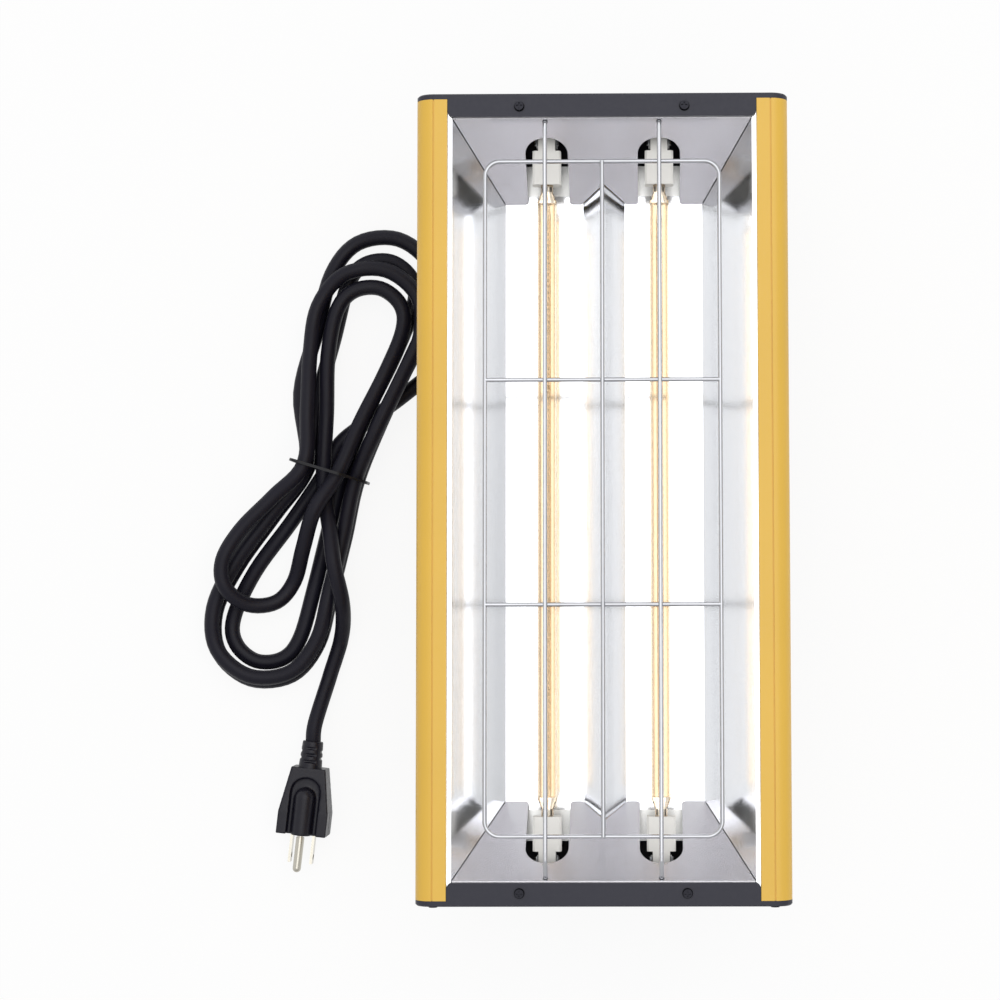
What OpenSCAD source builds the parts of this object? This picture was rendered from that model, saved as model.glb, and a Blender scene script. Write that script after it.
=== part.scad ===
// Hand-held infrared curing lamp with two quartz tubes, lying on its back with the opening up.
// The handle behind it is what it lies on. X runs across, Y along the tubes, Z up out of the opening.
// The origin is on the surface under the middle of the lamp. All sizes are in millimetres.

/* [Body] */
// Length over the end plates
body_len = 430; // [360:1:560]
// Width over the side rails
body_w = 198.5; // [190:0.5:240]
// Depth from the rear cover to the front edge
body_d = 78; // [76:1:96]
// Thickness of an end plate
plate_t = 3; // [2.5:0.5:4]
// Width of the front flange of an end plate, from its outer face
flange_w = 12.4; // [11:0.2:16]
// Thickness of that flange
flange_t = 2.5; // [2:0.1:3.5]
// Distance of the flange screws from the middle
flange_screw_x = 44; // [30:1:60]

/* [Side rails] */
// Width of a rail seen from the front
rail_w = 16.75; // [15:0.25:20]
// Radius of its outer nose
nose_r = 9; // [7:0.5:11]
// Wall of the extrusion
rail_wall = 2; // [1.6:0.1:2.4]
// Height of the screw ports above the rear and below the front
port_v = 14; // [12:0.5:18]
// Width of the ledge that carries the rear cover
ledge_w = 8; // [7:0.5:10]

/* [Reflector] */
// Width of the lip along each side of the mouth
lip_w = 2.3; // [2:0.1:3]
// How far a side wall leans in on its way to the floor
side_run = 25.5; // [20:0.5:30]
// How far an end mirror leans in on its way to the floor
end_run = 37.5; // [32:0.5:42]
// Depth of the reflector
refl_d = 51; // [47:1:53]
// Sheet thickness
refl_t = 0.8; // [0.6:0.1:1]
// Width of the centre ridge at its foot
ridge_w = 23; // [18:1:26]
// Height of the centre ridge
ridge_h = 11.5; // [8:0.5:14]
// Width of a lamp slot in the end mirrors
slot_w = 23; // [20:0.5:25]
// Height of the top of a slot above the floor
slot_h = 40; // [37:0.5:42]

/* [Lamps] */
// How far each lamp stands off the middle of its floor, towards the ridge
lamp_shift = 2.5; // [0:0.5:4]
// Height of the lamp axis above the reflector floor
lamp_rise = 26; // [24:0.5:28]
// Diameter of the quartz tube
tube_d = 10.5; // [9:0.5:12]
// Distance from the foot of an end mirror to the ceramic
block_set = 6; // [4:0.5:8]
// Width of a ceramic end block
block_w = 15.4; // [13:0.2:17]
// Length of the wide part of a ceramic
block_len = 18.4; // [16:0.2:20]
// Thickness of a ceramic
block_t = 9; // [8:0.5:10]
// Width of the narrow tongue
tongue_w = 9.2; // [8:0.2:11]
// Length of the narrow tongue
tongue_len = 12; // [11:0.5:14]

/* [Wire guard] */
// Diameter of the wire
wire_d = 2.3; // [2:0.1:3]
// Distance of the frame from the sides of the mouth
guard_side = 17.5; // [14:0.5:22]
// Distance of the frame from the ends of the mouth
guard_end = 23; // [20:0.5:28]
// Corner radius of the frame
guard_r = 8; // [6:0.5:12]

/* [Handle] */
// Height of the handle behind the rear cover
handle_h = 62; // [58:1:75]
// Length of the handle
handle_len = 122; // [112:1:150]
// Width of the handle
handle_w = 34; // [30:1:40]
// Thickness of the grip
grip_t = 25; // [20:1:28]
// Length of each post
post_len = 15; // [13:1:20]

/* [Switches] */
// Length of a switch frame
switch_len = 21; // [21:0.5:25]
// Width of a switch frame
switch_w = 15; // [15:0.5:18]
// Angle that a rocker turns through
rocker_swing = 24; // [16:1:28]

/* [Cord] */
// Diameter of the cord
cord_d = 9; // [8.6:0.1:9.2]
// Least gap left between the turns
cord_clear = 1; // [0.9:0.1:1.1]

/* [Hidden] */

$fn = 48;
rr_fn = 32;

// How far cuts run past what they cut
over = 1;
// Gap between parts that slide into each other
fit_gap = 0.2;
// Gap where one sheet rests on another
seat_gap = 0.1;

// Levels
rear_z = handle_h;
front_z = rear_z + body_d;
lip_z = front_z - flange_t - seat_gap;
pan_z = lip_z - refl_d;
lamp_z = pan_z + lamp_rise;

// Colours as the photograph shows them
yellow = "#DDB347";
plate_black = "#46464F";
cord_black = "#222228";

// Screws
head_d = 5.6;
head_h = 2;
shank_d = 2.9;
recess_w = 0.9;
recess_l = 3.4;
recess_t = 1;
hole_d = shank_d + 2 * fit_gap;
nut_w = 5.5;
nut_t = 2.4;
plate_screw_len = 12;
port_d = shank_d + 2 * seat_gap;
port_wall = 1.9;

// Rail profile
port_u = nose_r - fit_gap;
web_t = 1.6;
ledge_t = 2;
cover_t = 1.2;
lip_ledge_w = lip_w - refl_t + fit_gap;
groove_w = 0.8;
groove_t = 0.6;
flute_r = 1;
flute_pitch = 6.5;
flute_n = 5;
rail_len = body_len - 2 * plate_t;
rail_in = body_w / 2 - rail_w;

// Reflector
mirror_set = 0.6;
lip_x = rail_in - fit_gap;
ap_x = lip_x - lip_w;
ap_y = body_len / 2 - flange_w - mirror_set;
pan_x = ap_x - side_run;
pan_y = ap_y - end_run;
wall_a = atan2(refl_d, ap_x - pan_x);
ridge_a = atan2(ridge_h, ridge_w / 2);
end_a = atan2(refl_d, end_run);
end_s = norm([refl_d, end_run]);
lamp_x = (ridge_w / 2 + pan_x) / 2 - lamp_shift;
tube_show = 2 * (pan_y + block_set);
pan_over = 5;
dip = refl_t * cos(end_a);
side_gap = dip * (ap_x - pan_x) / refl_d + fit_gap;
foot_s = refl_t / tan(end_a) + seat_gap;
mouth_r = 1.5;
top_flange = flange_w - fit_gap - nut_w / 2 - refl_t;
screw_in = 7;

// Guard
guard_z = front_z - flange_t / 2 - refl_t;
weld = 0.4;
frame_z = guard_z - wire_d + weld;
hook_x = lamp_x;
guard_w = 2 * (ap_x - guard_side);
guard_len = 2 * (ap_y - guard_end);
hook_gap = 0.35;
hook_s = end_s - wire_d;
hook_y = pan_y + hook_s * cos(end_a);
hook_z = pan_z + hook_s * sin(end_a);
cross_shares = [0.346, -0.32];
wire_sides = 10;

// Lamps
neck_d = 6.6;
neck_len = 4;
shoulder_len = 5;
quartz_wall = 1.2;
pip_d = 3;
pip_y = 58;
wire_rod_d = 2;
support_n = 7;
support_t = 0.5;
bore_gap = 0.2;
tongue_end = tube_show / 2 + block_len + tongue_len;

// Holders
clip_t = 1;
clip_w = 9;
clip_foot = 8;
bracket_t = 1.2;
bracket_side = 8.5;
bracket_w = 2 * (pan_x - bracket_side);
bracket_in = 9;
bracket_out = 22;
bracket_foot = 9;
rivet_d = 3;
rivet_head_d = 4.6;
rivet_head_t = 1;
bracket_z = pan_z - refl_t - seat_gap;
riser_y = pan_y + bracket_out - clip_t;

// Rear cover
cover_half_w = rail_in - fit_gap;
cover_half_len = rail_len / 2 - fit_gap;
cover_lip = 12;
vent_w = 3.4;
vent_len = 40;
vent_pitch = 9;
vent_n = 6;
vent_end = 55;
vent_x = 30;
cover_screw_shares = [-0.86, 0, 0.86];
cover_screw_x = rail_in - ledge_w / 2;
cover_screw_len = 6;

// Handle
handle_y = -8;
corner_r = 15;
edge_r = 6;
gap_r = 7;
base_t = 5;
flange_out = 9;
flange_h = 4;
handle_end = handle_y + handle_len / 2;
handle_screw_x = handle_w / 2 + flange_out / 2;
handle_screw_y = handle_len / 2 - 12;
handle_screw_len = 8;
wire_hole_d = 8;

// Strain relief
boot_len = 25;
boot_d = 17;
boot_tip_d = 11;
boot_flange_d = 20;
boot_flange_t = 3;
boot_z = 38;
boot_rib_t = 2;
boot_ribs = 4;
boot_neck = 1.2;
stem_d = 11;
stem_len = 8;
boot_end = handle_end + boot_len;

// Switches
switch_x = 46;
switch_y = 30;
bezel_t = 2;
switch_depth = 13;
switch_wall = 1.6;
rocker_gap = 0.4;
pin_d = 2.4;
pin_z = 1.2;
rocker_edge = 3.2;
rocker_mid = 1.6;
rocker_in = 3.4;
tab_w = 4.8;
tab_t = 0.8;
tab_len = 6;

// Terminal block
block3_w = 30;
block3_l = 20;
block3_h = 12;
block3_y = -96;
block3_pitch = 9;
block3_n = 3;

// Plug
plug_len = 38.8;
plug_w0 = 20;
plug_w1 = 29;
plug_h = 25;
plug_r = 4;
plug_tilt = 6.3;
relief_len = 15.2;
relief_d0 = 12;
relief_d1 = 14;
relief_rib = 1.6;
relief_n = 4;
relief_neck = 1;
blade_pitch = 12.7;
blade_w = 6.35;
blade_t = 1.5;
blade_len = 17;
blade_z = 7.5;
earth_d = 4.76;
earth_len = 21.4;
earth_rise = 11.9;
plug_at = [-171.8, -136.4, 12];
pin_sink = 4;
root_d = 3.6;
root_show = 1.2;

// ---- Shared shapes ----

module rounded(w, h, r) {
  hull() for (x = [-1, 1], y = [-1, 1])
    translate([x * (w / 2 - r), y * (h / 2 - r)]) circle(r, $fn = rr_fn);
}

// A pan-head screw that points down from its seat at z = 0
module screw(len) {
  difference() {
    union() {
      cylinder(d1 = head_d, d2 = head_d - recess_t, h = head_h);
      translate([0, 0, -len]) cylinder(d = shank_d, h = len + head_h / 2);
    }
    for (a = [0, 90]) rotate(a)
      translate([-recess_l / 2, -recess_w / 2, head_h - recess_t]) cube([recess_l, recess_w, recess_t + over]);
  }
}

function unit(v) = v / norm(v);
function heading(p, i) = unit(p[min(i + 1, len(p) - 1)] - p[max(i - 1, 0)]);
function ring(c, t, r, n, ref) = let (s = unit(cross(ref, t)), u = cross(t, s))
  [for (i = [0:n - 1]) let (a = 360 * i / n + 90) c + r * (cos(a) * s + sin(a) * u)];

// One unbroken tube along points, with flat ends square to the line
module tube(p, d, n, ref) {
  m = len(p);
  pts = [for (i = [0:m - 1]) each ring(p[i], heading(p, i), d / 2, n, ref)];
  side = [for (i = [0:m - 2], j = [0:n - 1]) let (a = i * n + j, b = i * n + (j + 1) % n) each
    [[a, b + n, b], [a, a + n, b + n]]];
  first = [for (j = [1:n - 2]) [0, j, j + 1]];
  last = [for (j = [1:n - 2]) [(m - 1) * n, (m - 1) * n + j + 1, (m - 1) * n + j]];
  polyhedron(points = pts, faces = concat(side, first, last), convexity = 10);
}

// Smooth line through control points, at u control steps from the first
function blend(a, b, c, d, u) =
  0.5 * (2 * b + (c - a) * u + (2 * a - 5 * b + 4 * c - d) * u * u + (3 * b - a - 3 * c + d) * u * u * u);
function along(p, u) = let (n = len(p) - 1, i = min(floor(u), n - 1))
  blend(p[max(i - 1, 0)], p[i], p[i + 1], p[min(i + 2, n)], u - i);
function sampled(p, from, to, n) = [for (i = [0:n]) along(p, from + (to - from) * i / n)];
function mix(a, b, t) = a + (b - a) * t;

// ---- Side rails ----

module rail_outline(inset) {
  r = nose_r - inset;
  difference() {
    translate([inset, inset]) square([rail_w - 2 * inset, body_d - 2 * inset]);
    for (v = [nose_r, body_d - nose_r]) difference() {
      translate([inset - over, v < body_d / 2 ? inset - over : v]) square([r + over, r + over]);
      translate([nose_r, v]) circle(r);
    }
  }
}

module rail_profile() {
  difference() {
    union() {
      difference() {
        rail_outline(0);
        rail_outline(rail_wall);
      }
      for (v = [port_v, body_d - port_v]) {
        translate([rail_wall / 2, v - web_t / 2]) square([rail_w - rail_wall, web_t]);
        translate([port_u, v]) circle(port_d / 2 + port_wall);
      }
      translate([rail_w - rail_wall / 2, lip_z - rear_z - refl_t - seat_gap - ledge_t])
        square([lip_ledge_w + rail_wall / 2, ledge_t]);
      translate([rail_w - rail_wall / 2, cover_t + seat_gap]) square([ledge_w + rail_wall / 2, ledge_t]);
    }
    for (v = [port_v, body_d - port_v]) translate([port_u, v]) circle(port_d / 2);
    translate([nose_r, body_d - groove_t]) square([groove_w, groove_t + over]);
    for (i = [0:flute_n - 1])
      translate([-flute_r / 3, body_d / 2 + (i - (flute_n - 1) / 2) * flute_pitch]) circle(flute_r);
  }
}

module side_rail(side) {
  color(yellow) difference() {
    translate([side * body_w / 2, 0, rear_z]) mirror([side > 0 ? 1 : 0, 0, 0])
      translate([0, rail_len / 2, 0]) rotate([90, 0, 0]) linear_extrude(rail_len) rail_profile();
    for (s = cover_screw_shares)
      translate([side * cover_screw_x, s * cover_half_len, rear_z]) cylinder(d = port_d, h = cover_t + ledge_t + over);
  }
}

module side_rail_left() { side_rail(-1); }
module side_rail_right() { side_rail(1); }

// ---- End plates ----

plate_edge = 0.8;
flange_r = 3;

module plate_slab(inset, t) {
  rotate([90, 0, 0]) linear_extrude(t, center = true)
    translate([0, rear_z + body_d / 2]) rounded(body_w - 2 * inset, body_d - 2 * inset, nose_r - inset);
}

module end_plate(end) {
  y = end * (body_len - plate_t) / 2;
  color(plate_black) difference() {
    union() {
      hull() {
        translate([0, y - end * plate_edge / 2, 0]) plate_slab(0, plate_t - plate_edge);
        translate([0, y, 0]) plate_slab(plate_edge, plate_t);
      }
      translate([0, end * (body_len / 2 - flange_w / 2 - plate_t / 4), front_z - flange_t]) linear_extrude(flange_t)
        rounded(2 * rail_in - 2 * fit_gap, flange_w - plate_t / 2, flange_r);
      translate([0, end * (body_len / 2 - flange_w / 2 - plate_t / 4), front_z - flange_t]) linear_extrude(flange_t)
        translate([-rail_in + fit_gap, end > 0 ? 0 : -flange_w / 2 + plate_t / 2])
          square([2 * rail_in - 2 * fit_gap, flange_w / 2 - plate_t / 2]);
    }
    for (x = [-1, 1], v = [port_v, body_d - port_v])
      translate([x * (body_w / 2 - port_u), y, rear_z + v]) rotate([90, 0, 0])
        cylinder(d = hole_d, h = plate_t + 2 * over, center = true);
    for (x = [-1, 1]) translate([x * flange_screw_x, end * (body_len / 2 - screw_in), front_z - flange_t - over])
      cylinder(d = hole_d, h = flange_t + 2 * over);
  }
}

module end_plate_top() { end_plate(1); }
module end_plate_bottom() { end_plate(-1); }

// ---- Reflector ----

// Folded sheet seen from the end: lip, wall, floor, ridge, floor, wall, lip
module trough_profile() {
  w = refl_t * tan(wall_a / 2);
  f = refl_t * tan(ridge_a / 2);
  face = [[lip_x, lip_z], [ap_x, lip_z], [pan_x, pan_z], [ridge_w / 2, pan_z]];
  back = [[lip_x, lip_z - refl_t], [ap_x + w, lip_z - refl_t], [pan_x + w, pan_z - refl_t],
    [ridge_w / 2 - f, pan_z - refl_t]];
  n = len(face) - 1;
  polygon(concat(
    face, [[0, pan_z + ridge_h]], [for (i = [n:-1:0]) [-face[i].x, face[i].y]],
    [for (p = back) [-p.x, p.y]], [[0, pan_z + ridge_h - refl_t / cos(ridge_a)]],
    [for (i = [n:-1:0]) back[i]]));
}

module reflector_trough() {
  foot = pan_y + pan_over;
  low = pan_z - 2 * refl_t;
  k = end_run / refl_d;
  color("#D8DCDE") intersection() {
    translate([0, body_len / 2, 0]) rotate([90, 0, 0]) linear_extrude(body_len) trough_profile();
    rotate([90, 0, 90]) linear_extrude(body_w, center = true) polygon([
      [-foot + 2 * refl_t * k, low], [foot - 2 * refl_t * k, low],
      [ap_y + pan_over, lip_z + over * k], [-ap_y - pan_over, lip_z + over * k]]);
  }
}

// Folded sheet seen from the side: foot, slope, front flange
module end_profile() {
  c = cos(end_a);
  n = sin(end_a);
  polygon([
    [pan_y + foot_s * c, pan_z + foot_s * n], [ap_y, lip_z], [ap_y + top_flange, lip_z],
    [ap_y + top_flange, lip_z - refl_t], [ap_y + refl_t * tan(end_a / 2), lip_z - refl_t],
    [pan_y + foot_s * c + refl_t * n, pan_z + foot_s * n - refl_t * c]]);
}

// What is cut from the slope, drawn flat on it: the sides, the notch over the ridge, the lamp slots
module end_cuts() {
  rw = ridge_w / 2 + dip + 2 * fit_gap;
  rh = rw * ridge_h / (ridge_w / 2) / sin(end_a);
  slot_s = slot_h / sin(end_a) - slot_w / 2;
  function half_w(s) = pan_x + s * (ap_x - pan_x) / end_s - side_gap;
  for (m = [-1, 1]) polygon([
    [m * half_w(-over), -over], [m * half_w(end_s + over), end_s + over],
    [m * (ap_x + 2 * over), end_s + over], [m * (ap_x + 2 * over), -over]]);
  polygon([[-rw * (1 + over / rh), foot_s - over], [0, foot_s + rh], [rw * (1 + over / rh), foot_s - over]]);
  for (x = [-1, 1]) translate([x * lamp_x, 0]) {
    polygon([
      [-slot_w / 2 - mouth_r - over, foot_s - over], [-slot_w / 2, foot_s + mouth_r], [-slot_w / 2, slot_s],
      [slot_w / 2, slot_s], [slot_w / 2, foot_s + mouth_r], [slot_w / 2 + mouth_r + over, foot_s - over]]);
    translate([0, slot_s]) circle(slot_w / 2);
  }
  for (x = [-1, 1]) translate([x * hook_x, hook_s]) circle(wire_d / 2 + hook_gap);
}

module end_reflector(end) {
  half = ap_x - side_gap;
  color("#D8DCDE") mirror([0, end > 0 ? 0 : 1, 0]) difference() {
    rotate([90, 0, 90]) linear_extrude(2 * half, center = true) end_profile();
    translate([0, pan_y, pan_z]) rotate([end_a, 0, 0]) translate([0, 0, -refl_t - over])
      linear_extrude(refl_t + 2 * over) end_cuts();
    for (x = [-1, 1]) translate([x * flange_screw_x, body_len / 2 - screw_in, lip_z - refl_t - over])
      cylinder(d = hole_d, h = refl_t + 2 * over);
  }
}

module end_reflector_top() { end_reflector(1); }
module end_reflector_bottom() { end_reflector(-1); }

// ---- Wire guard ----

// End of a long wire, from the guard's plane through the mirror's hole and down behind it
function hook_pts(e) = let (n = [0, cos(90 - end_a), -sin(90 - end_a)], h = [0, hook_y, hook_z], d = wire_d,
    rise = guard_z - hook_z,
    p = [h + [0, -6 * d, rise], h + [0, -4 * d, 0.93 * rise], h + [0, -2.2 * d, 0.66 * rise],
      h - 0.8 * d * n, h + 0.7 * d * n, h + 1.5 * d * n + [0, 0, -0.3 * d], h + [0, 1.55 * d, -2.3 * d],
      h + [0, 1.6 * d, -3.2 * d]])
  [for (q = p) [hook_x, e * q.y, q.z]];

module long_wire() {
  a = hook_pts(-1);
  b = hook_pts(1);
  n = len(a) - 1;
  tube(concat([for (i = [n:-1:0]) a[i]], b), wire_d, wire_sides, [1, 0, 0]);
}

module rod_between(a, b, d) {
  v = b - a;
  translate(a) rotate([0, acos(v.z / norm(v)), atan2(v.y, v.x)]) cylinder(d = d, h = norm(v));
}

module guard_frame() {
  x = guard_w / 2;
  y = guard_len / 2;
  for (m = [-1, 1]) {
    rod_between([m * x, -y + guard_r, 0], [m * x, y - guard_r, 0], wire_d);
    rod_between([-x + guard_r, m * y, 0], [x - guard_r, m * y, 0], wire_d);
  }
  for (c = [[1, 1, 0], [-1, 1, 90], [-1, -1, 180], [1, -1, 270]])
    translate([c.x * (x - guard_r), c.y * (y - guard_r), 0]) rotate(c.z)
      rotate_extrude(angle = 90) translate([guard_r, 0]) circle(d = wire_d);
}

module wire_guard() {
  color("#E6E8EA") union() {
    long_wire();
    mirror([1, 0, 0]) long_wire();
    rod_between([0, -guard_len / 2, guard_z], [0, guard_len / 2, guard_z], wire_d);
    translate([0, 0, frame_z]) {
      guard_frame();
      for (s = cross_shares)
        rod_between([-guard_w / 2, s * guard_len / 2, 0], [guard_w / 2, s * guard_len / 2, 0], wire_d);
    }
  }
}

// ---- Lamps ----

module quartz_tube(side) {
  r = tube_d / 2;
  a = tube_show / 2 - neck_len;
  b = a - shoulder_len;
  c = tube_show / 2 + neck_len;
  color("#E0A94A") translate([side * lamp_x, 0, lamp_z]) {
    rotate([90, 0, 0]) difference() {
      rotate_extrude() polygon([[0, -c], [neck_d / 2, -c], [neck_d / 2, -a], [r, -b], [r, b],
        [neck_d / 2, a], [neck_d / 2, c], [0, c]]);
      cylinder(r = r - quartz_wall, h = 2 * (b - quartz_wall), center = true);
    }
    translate([0, pip_y, r - quartz_wall / 2]) cylinder(d1 = pip_d, d2 = pip_d / 2, h = pip_d * 0.8);
  }
}

module filament(side) {
  r = tube_d / 2 - quartz_wall - seat_gap;
  b = tube_show / 2 - neck_len - shoulder_len - 2 * quartz_wall;
  color("#6A5A4A") translate([side * lamp_x, 0, lamp_z]) rotate([90, 0, 0]) {
    cylinder(d = wire_rod_d, h = 2 * b, center = true);
    for (i = [0:support_n - 1]) translate([0, 0, (i / (support_n - 1) - 0.5) * 2 * (b - support_t)])
      cylinder(r = r, h = support_t, center = true);
  }
}

module lamp_ceramic(end) {
  y0 = tube_show / 2;
  bev = block_t / 8;
  mirror([0, end > 0 ? 0 : 1, 0]) difference() {
    union() {
      hull() {
        translate([-block_w / 2 + bev, y0, -block_t / 2]) cube([block_w - 2 * bev, block_len, block_t]);
        translate([-block_w / 2, y0, -block_t / 2 + bev]) cube([block_w, block_len, block_t - 2 * bev]);
      }
      translate([-tongue_w / 2, y0, -block_t / 2]) cube([tongue_w, block_len + tongue_len, block_t]);
    }
    translate([0, y0 - over, 0]) rotate([-90, 0, 0]) cylinder(d = neck_d + 2 * bore_gap, h = neck_len + over + bore_gap);
  }
}

module lamp_ceramics(side) {
  color("#EFEDE6") translate([side * lamp_x, 0, lamp_z]) {
    lamp_ceramic(1);
    lamp_ceramic(-1);
  }
}

module quartz_tube_left() { quartz_tube(-1); }
module quartz_tube_right() { quartz_tube(1); }
module filament_left() { filament(-1); }
module filament_right() { filament(1); }
module lamp_ceramics_left() { lamp_ceramics(-1); }
module lamp_ceramics_right() { lamp_ceramics(1); }

// ---- Lamp holders ----

clip_top = lamp_z + block_t / 2 - clip_t;
clip_base = lamp_z - block_t / 2 - seat_gap - clip_t;

// Spring clip round the ceramic's tongue, with a riser and a foot on the bracket
module holder_clip() {
  y1 = tongue_end - seat_gap;
  in = tongue_w / 2 + seat_gap;
  translate([-clip_foot / 2, riser_y, bracket_z]) cube([clip_foot, clip_t, clip_base - bracket_z + clip_t]);
  translate([-clip_foot / 2, riser_y - clip_w, bracket_z]) cube([clip_foot, clip_w + clip_t / 2, clip_t]);
  translate([-clip_foot / 2, riser_y, clip_base]) cube([clip_foot, y1 - riser_y, clip_t]);
  for (m = [-1, 1]) {
    translate([m > 0 ? in : -in - clip_t, y1 - clip_w, clip_base]) cube([clip_t, clip_w, clip_top - clip_base]);
    translate([m * (in + clip_t), y1 - clip_w, clip_top]) rotate([-90, 0, 0]) cylinder(r = clip_t, h = clip_w);
  }
  translate([-in - clip_t, y1 - clip_w, clip_base]) cube([2 * in + 2 * clip_t, clip_w, clip_t]);
}

module holder_clips() {
  color("#9A9C9E") for (e = [0, 1], x = [-1, 1]) mirror([0, e, 0])
    translate([x * lamp_x, 0, 0]) difference() {
      holder_clip();
      translate([0, riser_y - clip_w / 2, bracket_z - over]) cylinder(d = rivet_d + fit_gap, h = clip_t + 2 * over);
    }
}

module holder_bracket(end) {
  y0 = pan_y - bracket_in;
  len_y = bracket_in + bracket_out;
  floor_z = rear_z + cover_t;
  color("#E8E8E6") mirror([0, end > 0 ? 0 : 1, 0]) difference() {
    union() {
      translate([-bracket_w / 2, y0, bracket_z - bracket_t]) cube([bracket_w, len_y, bracket_t]);
      for (m = [-1, 1]) {
        translate([m > 0 ? bracket_w / 2 - bracket_t : -bracket_w / 2, y0, floor_z])
          cube([bracket_t, len_y, bracket_z - floor_z]);
        translate([m > 0 ? bracket_w / 2 - bracket_t : -bracket_w / 2 - bracket_foot + bracket_t, y0, floor_z])
          cube([bracket_foot, len_y, bracket_t]);
      }
    }
    for (x = [-1, 1]) translate([x * lamp_x, riser_y - clip_w / 2, bracket_z - bracket_t - over])
      cylinder(d = rivet_d + fit_gap, h = bracket_t + 2 * over);
  }
}

module holder_bracket_top() { holder_bracket(1); }
module holder_bracket_bottom() { holder_bracket(-1); }

module holder_rivets() {
  color("#8C8E90") for (e = [-1, 1], x = [-1, 1])
    translate([x * lamp_x, e * (riser_y - clip_w / 2), bracket_z]) {
      translate([0, 0, clip_t]) cylinder(d = rivet_head_d, h = rivet_head_t);
      translate([0, 0, -bracket_t]) cylinder(d = rivet_d, h = bracket_t + clip_t);
      translate([0, 0, -bracket_t - rivet_head_t]) cylinder(d = rivet_head_d, h = rivet_head_t);
    }
}

// ---- Rear cover ----

module vent() {
  h = cover_t + 2 * over;
  translate([-vent_len / 2, -vent_w / 2, -over]) cube([vent_len, vent_w, h]);
  for (m = [-1, 1]) translate([m * vent_len / 2, 0, -over]) cylinder(d = vent_w, h = h);
}

module rear_cover() {
  w = cover_half_w;
  l = cover_half_len;
  color("#3A3A40") difference() {
    union() {
      translate([-w, -l, rear_z]) cube([2 * w, 2 * l, cover_t]);
      for (e = [0, 1]) mirror([0, e, 0])
        translate([-w + ledge_w + fit_gap, l - cover_t, rear_z]) cube([2 * (w - ledge_w - fit_gap), cover_t, cover_lip]);
    }
    for (e = [-1, 1], x = [-1, 1], i = [0:vent_n - 1])
      translate([x * vent_x, e * (cover_half_len - vent_end - i * vent_pitch), rear_z]) vent();
    for (x = [-1, 1]) translate([x * switch_x, switch_y, rear_z]) cube([
      switch_w - 2 * switch_wall + 2 * fit_gap, switch_len - 2 * switch_wall + 2 * fit_gap,
      2 * (cover_t + over)], center = true);
    translate([0, handle_end - post_len / 2, rear_z - over]) cylinder(d = wire_hole_d, h = cover_t + 2 * over);
    for (x = [-1, 1], s = cover_screw_shares)
      translate([x * cover_screw_x, s * cover_half_len, rear_z - over]) cylinder(d = hole_d, h = cover_t + 2 * over);
    for (x = [-1, 1], y = [-1, 1])
      translate([x * handle_screw_x, handle_y + y * handle_screw_y, rear_z - over])
        cylinder(d = hole_d, h = cover_t + 2 * over);
  }
}

// ---- Handle ----

module handle() {
  gap_len = handle_len - 2 * post_len;
  gap_h = handle_h - grip_t - base_t;
  color(plate_black) difference() {
    union() {
      intersection() {
        rotate([90, 0, 90]) linear_extrude(handle_w, center = true) translate([handle_y, handle_h / 2]) {
          rounded(handle_len, handle_h, corner_r);
          translate([-handle_len / 2, 0]) square([handle_len, handle_h / 2]);
        }
        translate([0, handle_y, 0]) rotate([90, 0, 0]) linear_extrude(handle_len, center = true)
          translate([0, handle_h / 2]) {
            rounded(handle_w, handle_h, edge_r);
            translate([-handle_w / 2, 0]) square([handle_w, handle_h / 2]);
          }
      }
      translate([0, handle_y, rear_z - flange_h]) linear_extrude(flange_h)
        rounded(handle_w + 2 * flange_out, handle_len, edge_r);
    }
    rotate([90, 0, 90]) linear_extrude(handle_w + over, center = true)
      translate([handle_y, grip_t + gap_h / 2]) rounded(gap_len, gap_h, gap_r);
    for (x = [-1, 1], y = [-1, 1])
      translate([x * handle_screw_x, handle_y + y * handle_screw_y, rear_z - flange_h - over])
        cylinder(d = hole_d, h = flange_h + 2 * over);
    translate([0, handle_end - stem_len - fit_gap, boot_z]) rotate([-90, 0, 0])
      cylinder(d = stem_d + 2 * fit_gap, h = stem_len + fit_gap + over);
  }
}

// ---- Strain relief on the handle's end ----

module cord_boot() {
  pitch = (boot_len - boot_flange_t) / (boot_ribs + 0.5);
  color(cord_black) translate([0, handle_end, boot_z]) rotate([-90, 0, 0]) {
    translate([0, 0, -stem_len]) cylinder(d = stem_d, h = stem_len);
    cylinder(d = boot_flange_d, h = boot_flange_t);
    difference() {
      cylinder(d1 = boot_d, d2 = boot_tip_d, h = boot_len);
      for (i = [0:boot_ribs - 1]) translate([0, 0, boot_flange_t + pitch * (i + 0.5)]) difference() {
        cylinder(d = boot_flange_d, h = pitch - boot_rib_t);
        cylinder(d = mix(boot_d, boot_tip_d, (boot_flange_t + pitch * (i + 1)) / boot_len) - 2 * boot_neck,
          h = pitch - boot_rib_t);
      }
    }
  }
}

// ---- Switches ----

module switch_frame() {
  ol = switch_len;
  ow = switch_w;
  il = ol - 2 * switch_wall;
  iw = ow - 2 * switch_wall;
  difference() {
    union() {
      translate([-ow / 2, -ol / 2, -bezel_t]) cube([ow, ol, bezel_t]);
      translate([-iw / 2, -il / 2, -bezel_t / 2]) cube([iw, il, switch_depth + bezel_t / 2]);
    }
    translate([-iw / 2 + switch_wall, -il / 2 + switch_wall, -bezel_t - over])
      cube([iw - 2 * switch_wall, il - 2 * switch_wall, switch_depth + bezel_t + over - switch_wall]);
    translate([0, 0, pin_z]) rotate([0, 90, 0]) cylinder(d = pin_d + fit_gap, h = iw + over, center = true);
  }
  for (y = [-1, 1]) translate([-tab_w / 2, y * il / 4 - tab_t / 2, switch_depth - tab_t])
    cube([tab_w, tab_t, tab_len + tab_t]);
}

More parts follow.
